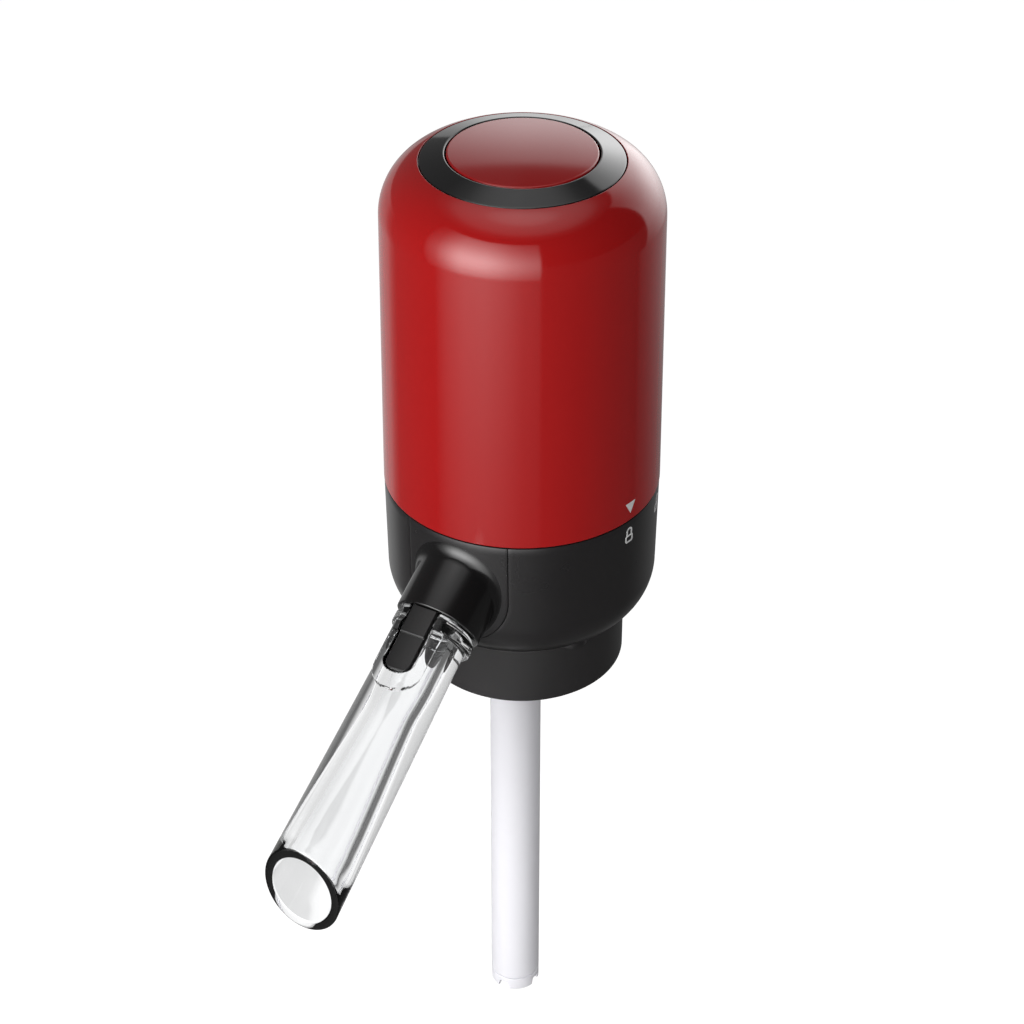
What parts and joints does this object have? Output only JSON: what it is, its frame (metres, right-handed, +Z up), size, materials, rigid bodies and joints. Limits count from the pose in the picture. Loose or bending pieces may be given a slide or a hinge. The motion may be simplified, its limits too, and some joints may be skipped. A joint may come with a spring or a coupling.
{
  "type": "electric wine decanter",
  "caption": "Battery pump unit that stands in a bottle's neck: round housing with a top button, black collar with a slanting clear spout, and a telescopic dip tube.",
  "frame": {"origin": "centre of the gasket's lower face, which rests on the bottle's lip, on the axis of the housing", "axes": "+Z up along the housing's axis, spout towards -Y, sloping 30 degrees down"},
  "size_m": [0.061, 0.1232, 0.2297],
  "materials": {
    "housing_red": "glossy painted ABS",
    "trim_black": "polished black",
    "collar_black": "satin black ABS",
    "skirt_black": "fine matte",
    "clear_acrylic": "clear, polished",
    "tube_milky": "milky translucent",
    "silicone": "translucent silicone",
    "seal_black": "nitrile rubber",
    "inner_grey": "as moulded",
    "inner_white": "as moulded",
    "steel": "bright zinc",
    "magnet": "sintered ferrite",
    "winding": "enamelled copper on laminations",
    "board_green": "solder mask",
    "cell_jacket": "plain jacket"
  },
  "bodies": {
    "base": {"lower_collar": "collar_black", "spout_carrier": "collar_black", "spout_latch": "skirt_black", "bottle_sleeve": "skirt_black", "lip_gasket": "silicone", "neck_stopper": "silicone", "tube_stem": "inner_white", "outer_dip_tube": "tube_milky", "wine_elbow": "seal_black", "bayonet_deck": "inner_grey", "inlet_seal": "silicone", "deck_screw_1": "steel", "deck_screw_2": "steel", "deck_screw_3": "steel", "check_valve": "inner_white", "upper_air_hose": "silicone", "lower_air_hose": "silicone"},
    "housing": {"upper_housing": "housing_red", "top_trim_ring": "trim_black", "button_spring": "steel", "switch_body": "inner_grey", "switch_board": "board_green", "battery_cap": "inner_grey", "battery_cell_1": "cell_jacket", "battery_cell_2": "cell_jacket", "battery_cell_3": "cell_jacket", "battery_cell_4": "cell_jacket", "battery_cell_5": "cell_jacket", "battery_cell_6": "cell_jacket", "lower_contact_1": "steel", "lower_contact_2": "steel", "lower_contact_3": "steel", "upper_contact_1": "steel", "upper_contact_2": "steel", "upper_contact_3": "steel", "pump_chassis": "inner_grey", "chassis_screw_1": "steel", "chassis_screw_2": "steel", "chassis_screw_3": "steel", "pump_cover": "inner_white", "valve_plate": "inner_white", "pump_diaphragm": "seal_black", "pump_rocker": "inner_white", "pump_bracket": "inner_white", "motor_can": "steel", "motor_magnet_1": "magnet", "motor_magnet_2": "magnet", "motor_end_cap": "inner_grey"},
    "button": {"power_button": "housing_red"},
    "plunger": {"switch_plunger": "inner_white"},
    "rotor": {"motor_shaft": "steel", "armature": "winding", "crank_disc": "inner_white", "tilt_pin": "steel"},
    "spout": {"pouring_spout": "clear_acrylic", "spout_o_ring": "seal_black"},
    "middle_stage": {"middle_dip_tube": "tube_milky"},
    "inner_stage": {"inner_dip_tube": "tube_milky"}
  },
  "joints": [
    {"name": "housing_twist", "type": "hinge", "parent": "base", "child": "housing", "pos_m": [0, 0, 0.037], "axis": [0, 0, 1], "range_deg": [0, 26]},
    {"name": "button_press", "type": "slide", "parent": "housing", "child": "button", "axis": [0, 0, -1], "range_m": [0, 0.0015], "stiffness_N_per_m": 800, "springref_m": -0.002, "deforming": ["button_spring"]},
    {"name": "plunger_press", "type": "slide", "parent": "housing", "child": "plunger", "axis": [0, 0, -1], "range_m": [0, 0.0015]},
    {"name": "motor_spin", "type": "hinge", "parent": "housing", "child": "rotor", "pos_m": [0, 0, 0.075], "axis": [0, 0, 1], "continuous": true},
    {"name": "spout_pull", "type": "slide", "parent": "base", "child": "spout", "axis": [0, -0.866, -0.5], "range_m": [0, 0.02]},
    {"name": "middle_stage_pull", "type": "slide", "parent": "base", "child": "middle_stage", "axis": [0, 0, -1], "range_m": [0, 0.068]},
    {"name": "inner_stage_pull", "type": "slide", "parent": "middle_stage", "child": "inner_stage", "axis": [0, 0, -1], "range_m": [0, 0.066]}
  ],
  "couplings": [
    {"joint": "plunger_press", "follows": "button_press", "ratio": 1}
  ]
}
